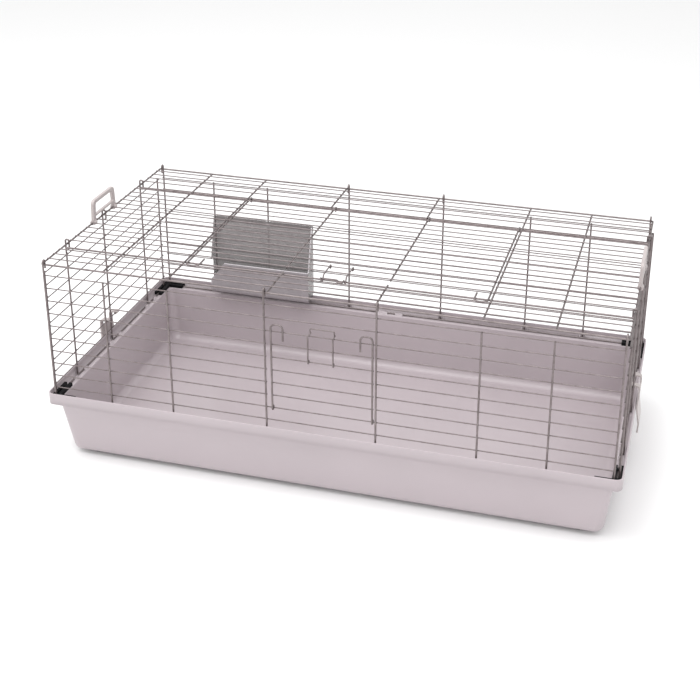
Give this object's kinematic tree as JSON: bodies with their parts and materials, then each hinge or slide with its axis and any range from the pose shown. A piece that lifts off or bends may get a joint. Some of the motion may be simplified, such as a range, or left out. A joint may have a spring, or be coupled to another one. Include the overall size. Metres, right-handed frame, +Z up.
{
  "type": "rabbit hutch",
  "caption": "Indoor small-animal cage: a zinc wire top with hinged roof and front doors on a deep moulded tray, with carry handles, side clips and an inside hay rack.",
  "frame": {"origin": "centre of the hutch's bounding box seen from above, on the surface its feet stand on", "axes": "+X along the hutch to the right as seen from the front, +Y from the front door to the rear wall, +Z up"},
  "size_m": [1.1946, 0.594, 0.493],
  "materials": {
    "zinc_wire": "zinc-plated drawn wire, satin",
    "tray_plastic": "moulded, soft gloss, warm light grey",
    "foot_rubber": "matt",
    "black_plastic": "matt moulded",
    "pale_plastic": "moulded, soft gloss, pale grey-beige",
    "smoke_plastic": "translucent smoke grey"
  },
  "bodies": {
    "tray": {"tray": "tray_plastic", "feet": "foot_rubber"},
    "cage": {"front_frame": "zinc_wire", "front_grille": "zinc_wire", "rear_frame": "zinc_wire", "rear_grille": "zinc_wire", "left_frame": "zinc_wire", "left_grille": "zinc_wire", "right_frame": "zinc_wire", "right_grille": "zinc_wire", "top_frame": "zinc_wire", "top_grille": "zinc_wire", "corner_clip_front_left": "black_plastic", "corner_clip_front_right": "black_plastic", "corner_clip_rear_right": "black_plastic", "corner_clip_rear_left": "black_plastic"},
    "top_door": {"top_door_frame": "zinc_wire", "top_door_grille": "zinc_wire"},
    "top_latch": {"top_latch": "zinc_wire"},
    "front_door": {"front_door_frame": "zinc_wire", "front_door_grille": "zinc_wire"},
    "front_latch": {"front_latch": "zinc_wire"},
    "left_handle": {"left_handle": "pale_plastic"},
    "right_handle": {"right_handle": "pale_plastic"},
    "left_clip": {"left_clip": "pale_plastic"},
    "right_clip": {"right_clip": "pale_plastic"},
    "hay_rack": {"hay_rack": "smoke_plastic"}
  },
  "joints": [
    {"name": "cage_lift", "type": "slide", "parent": "tray", "child": "cage", "axis": [0, 0, 1], "range_m": [0, 0.12]},
    {"name": "top_door_hinge", "type": "hinge", "parent": "cage", "child": "top_door", "pos_m": [0, 0.16625, 0.4402], "axis": [-1, 0, 0], "range_deg": [0, 130]},
    {"name": "top_latch_hinge", "type": "hinge", "parent": "top_door", "child": "top_latch", "pos_m": [0, -0.1425, 0.44735], "axis": [-1, 0, 0], "range_deg": [0, 45]},
    {"name": "front_door_hinge", "type": "hinge", "parent": "cage", "child": "front_door", "pos_m": [0, -0.2858, 0.197], "axis": [1, 0, 0], "range_deg": [0, 150]},
    {"name": "front_latch_hinge", "type": "hinge", "parent": "front_door", "child": "front_latch", "pos_m": [0.001, -0.28605, 0.309], "axis": [1, 0, 0], "range_deg": [0, 40], "stiffness_Nm_per_rad": 0.02, "springref_deg": -5.73},
    {"name": "left_handle_hinge", "type": "hinge", "parent": "cage", "child": "left_handle", "pos_m": [-0.575, 0, 0.444], "axis": [0, -1, 0], "range_deg": [-55, 132]},
    {"name": "right_handle_hinge", "type": "hinge", "parent": "cage", "child": "right_handle", "pos_m": [0.575, 0, 0.444], "axis": [0, 1, 0], "range_deg": [-55, 132]},
    {"name": "left_clip_hinge", "type": "hinge", "parent": "cage", "child": "left_clip", "pos_m": [-0.5758, 0, 0.197], "axis": [0, 1, 0], "range_deg": [0, 110]},
    {"name": "right_clip_hinge", "type": "hinge", "parent": "cage", "child": "right_clip", "pos_m": [0.5758, 0, 0.197], "axis": [0, -1, 0], "range_deg": [0, 110]},
    {"name": "rack_lift", "type": "slide", "parent": "cage", "child": "hay_rack", "axis": [0, 0, 1], "range_m": [0, 0.015]}
  ]
}
